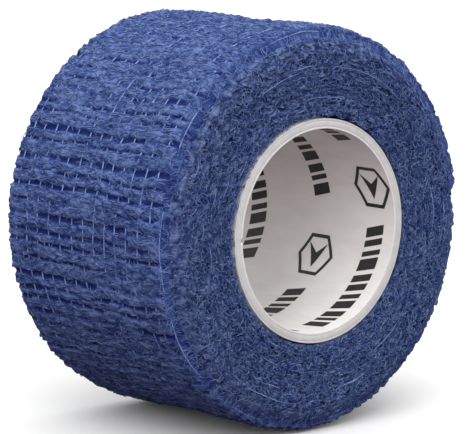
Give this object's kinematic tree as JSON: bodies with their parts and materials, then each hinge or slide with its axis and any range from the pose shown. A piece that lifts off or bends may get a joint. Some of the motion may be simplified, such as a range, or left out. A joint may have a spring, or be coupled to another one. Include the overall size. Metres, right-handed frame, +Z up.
{
  "type": "cohesive wrap roll",
  "caption": "Roll of blue cohesive stretch wrap for hands and joints, wound on a white printed paper core, with a free end that peels off.",
  "frame": {"origin": "centre of the roll, on the axis of its core at half its width", "axes": "+Y along the roll's axis, away from the face that the picture shows; +Z up when it stands on its curved side; the free end lies on the upper +X side"},
  "size_m": [0.0613, 0.038, 0.061],
  "materials": {
    "printed_liner": "matte white paper with dark print",
    "core_board": "matte grey-white board",
    "core_cover": "matte white paper",
    "inner_cloth": "matte royal blue crepe gauze seen on edge",
    "outer_cloth": "matte royal blue crepe gauze, wrinkled across its width",
    "elastic_yarn": "pale blue covered elastic thread"
  },
  "bodies": {
    "roll": {"core_inner_ply": "printed_liner", "core_board": "core_board", "core_outer_ply": "core_cover", "tape_winding": "inner_cloth", "tape_outer_turn": "outer_cloth", "elastic_yarn_01": "elastic_yarn", "elastic_yarn_02": "elastic_yarn", "elastic_yarn_03": "elastic_yarn", "elastic_yarn_04": "elastic_yarn", "elastic_yarn_05": "elastic_yarn", "elastic_yarn_06": "elastic_yarn", "elastic_yarn_07": "elastic_yarn", "elastic_yarn_08": "elastic_yarn", "elastic_yarn_09": "elastic_yarn", "elastic_yarn_10": "elastic_yarn", "elastic_yarn_11": "elastic_yarn", "elastic_yarn_12": "elastic_yarn", "elastic_yarn_13": "elastic_yarn", "elastic_yarn_14": "elastic_yarn", "elastic_yarn_15": "elastic_yarn"},
    "free_end_root": {"tape_end_root": "outer_cloth"},
    "free_end_middle": {"tape_end_middle": "outer_cloth"},
    "free_end_tip": {"tape_end_tip": "outer_cloth"}
  },
  "joints": [
    {"name": "peel_at_root", "type": "hinge", "parent": "roll", "child": "free_end_root", "pos_m": [0.00895, 0, 0.0295], "axis": [0, -1, 0], "range_deg": [0, 100]},
    {"name": "peel_at_middle", "type": "hinge", "parent": "free_end_root", "child": "free_end_middle", "pos_m": [0.01958, 0, 0.02386], "axis": [0, -1, 0], "range_deg": [0, 60]},
    {"name": "peel_at_tip", "type": "hinge", "parent": "free_end_middle", "child": "free_end_tip", "pos_m": [0.02725, 0, 0.01457], "axis": [0, -1, 0], "range_deg": [0, 60]}
  ]
}
